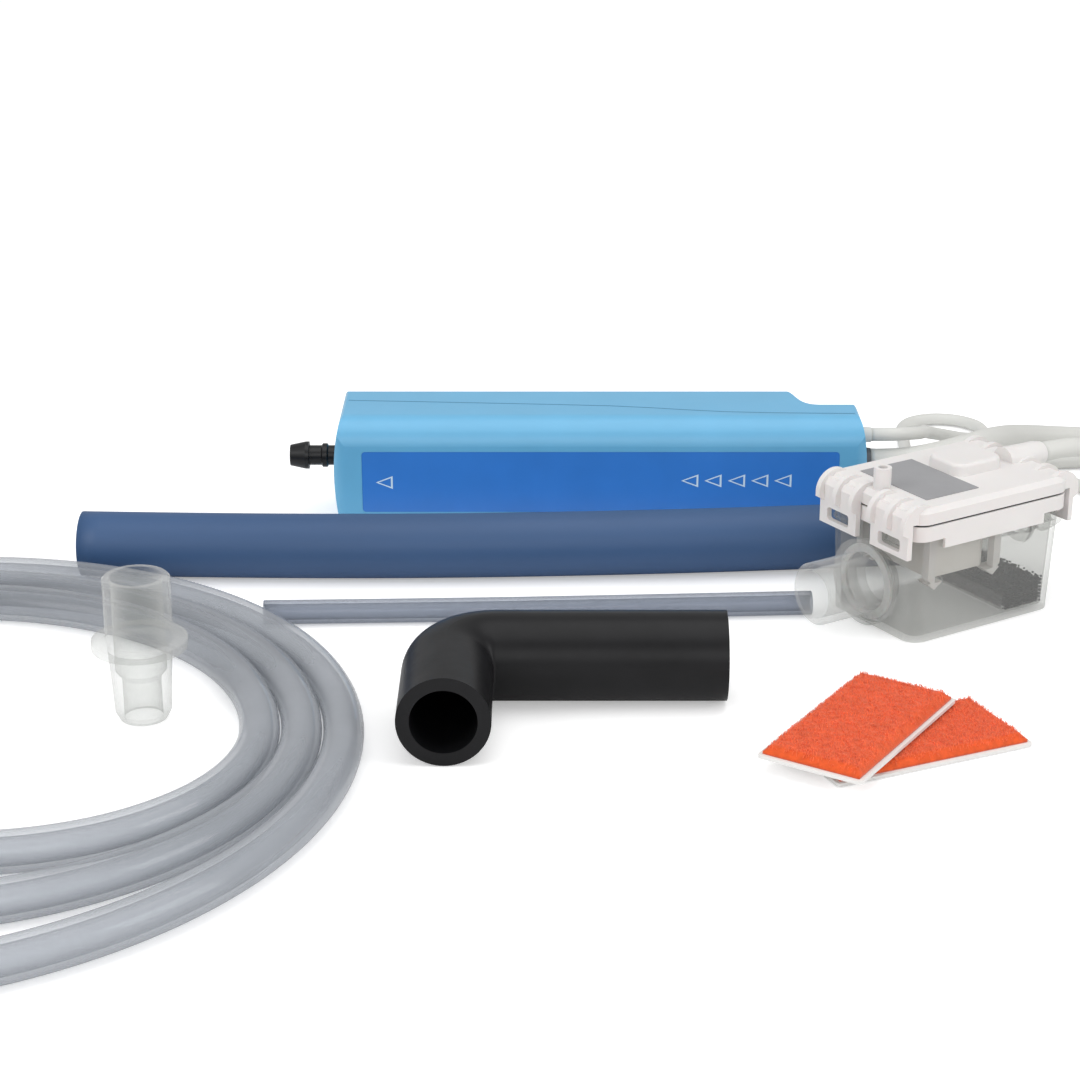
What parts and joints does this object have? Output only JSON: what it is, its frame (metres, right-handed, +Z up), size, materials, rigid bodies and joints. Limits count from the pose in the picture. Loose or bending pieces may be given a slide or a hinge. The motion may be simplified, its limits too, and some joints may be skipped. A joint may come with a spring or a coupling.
{
  "type": "condensate pump",
  "caption": "Mini condensate pump with a clipped float reservoir, moulded leads, hoses, elbow, spare spigot, clear tubes and fixing pads.",
  "frame": {"origin": "middle of the pump unit's underside", "axes": "+X along the pump towards its lead end, +Y to its rear, +Z up"},
  "size_m": [0.5219, 0.4154, 0.041],
  "materials": {
    "body_blue": "satin light blue",
    "label_blue": "printed film, deep blue",
    "screw_steel": "zinc plated",
    "fitting_black": "moulded black",
    "seal_rubber": "matte",
    "spring_steel": "drawn wire",
    "tube_steel": "drawn tube",
    "bobbin_plastic": "natural nylon",
    "winding_copper": "enamelled wire",
    "yoke_steel": "plated",
    "silicone": "translucent",
    "board_green": "solder mask",
    "gland_rubber": "matte grey",
    "clear_tank": "clear moulded plastic",
    "foam_black": "open-cell foam",
    "lid_white": "fine satin white",
    "label_grey": "film",
    "magnet_grey": "ferrite",
    "hose_blue": "matte slate blue",
    "clear_tube": "clear vinyl",
    "elbow_black": "satin black",
    "backing_white": "paper liner",
    "pad_orange": "hook and loop pile",
    "lead_grey": "warm light grey jacket",
    "core_colours": "insulated cores"
  },
  "bodies": {
    "root": {"front_shell": "body_blue", "rear_shell": "body_blue", "front_label": "label_blue", "shell_screws": "screw_steel", "outlet_fitting": "fitting_black", "outlet_valve_seat": "fitting_black", "outlet_valve_spring": "spring_steel", "outlet_o_ring": "seal_rubber", "inlet_o_ring": "seal_rubber", "core_tube": "tube_steel", "solenoid_bobbin": "bobbin_plastic", "coil_winding": "winding_copper", "yoke": "yoke_steel", "yoke_pads": "seal_rubber", "return_spring": "spring_steel", "buffer_spring": "spring_steel", "inlet_fitting": "fitting_black", "inlet_tube": "silicone", "inlet_barb": "fitting_black", "thermal_cutout": "bobbin_plastic", "control_board": "board_green", "alarm_gland": "lead_grey", "mains_gland": "gland_rubber", "sensor_gland": "gland_rubber", "tank": "clear_tank", "tank_outlet": "clear_tank", "filter_foam": "foam_black", "drain_hose": "hose_blue", "breather_tube": "clear_tube", "discharge_tube": "clear_tube", "elbow_hose": "elbow_black", "spare_spigot": "clear_tank", "lower_backing": "backing_white", "lower_pad": "pad_orange", "upper_backing": "backing_white", "upper_pad": "pad_orange", "mains_lead": "lead_grey", "mains_coil": "lead_grey", "mains_cores": "core_colours", "sensor_lead": "lead_grey", "sensor_coil": "lead_grey", "sensor_lead_end": "lead_grey", "alarm_lead": "lead_grey", "alarm_coil": "lead_grey", "alarm_cores": "core_colours"},
    "lid": {"lid_frame": "lid_white", "lid_seal": "seal_rubber", "lid_cover": "lid_white", "lid_label": "label_grey", "lead_grommet": "lid_white", "sensor_board": "board_green", "hall_sensor": "gland_rubber"},
    "float": {"float_body": "lid_white", "float_magnet": "magnet_grey"},
    "spigot": {"inlet_spigot": "clear_tank", "spigot_seal": "seal_rubber"},
    "piston": {"piston": "yoke_steel"},
    "outlet_valve": {"outlet_valve": "seal_rubber"}
  },
  "joints": [
    {"name": "lid_lift", "type": "slide", "parent": "root", "child": "lid", "axis": [0, 0, 1], "range_m": [0, 0.04]},
    {"name": "float_rise", "type": "slide", "parent": "lid", "child": "float", "axis": [0, 0, 1], "range_m": [0, 0.0045]},
    {"name": "spigot_pull", "type": "slide", "parent": "root", "child": "spigot", "axis": [-0.8453, -0.5344, 0], "range_m": [0, 0.02]},
    {"name": "piston_stroke", "type": "slide", "parent": "root", "child": "piston", "axis": [1, 0, 0], "range_m": [-0.002, 0.002], "stiffness_N_per_m": 900, "deforming": ["return_spring", "buffer_spring"]},
    {"name": "outlet_valve_lift", "type": "slide", "parent": "root", "child": "outlet_valve", "axis": [-1, 0, 0], "range_m": [0, 0.0012], "stiffness_N_per_m": 60, "deforming": ["outlet_valve_spring"]}
  ]
}
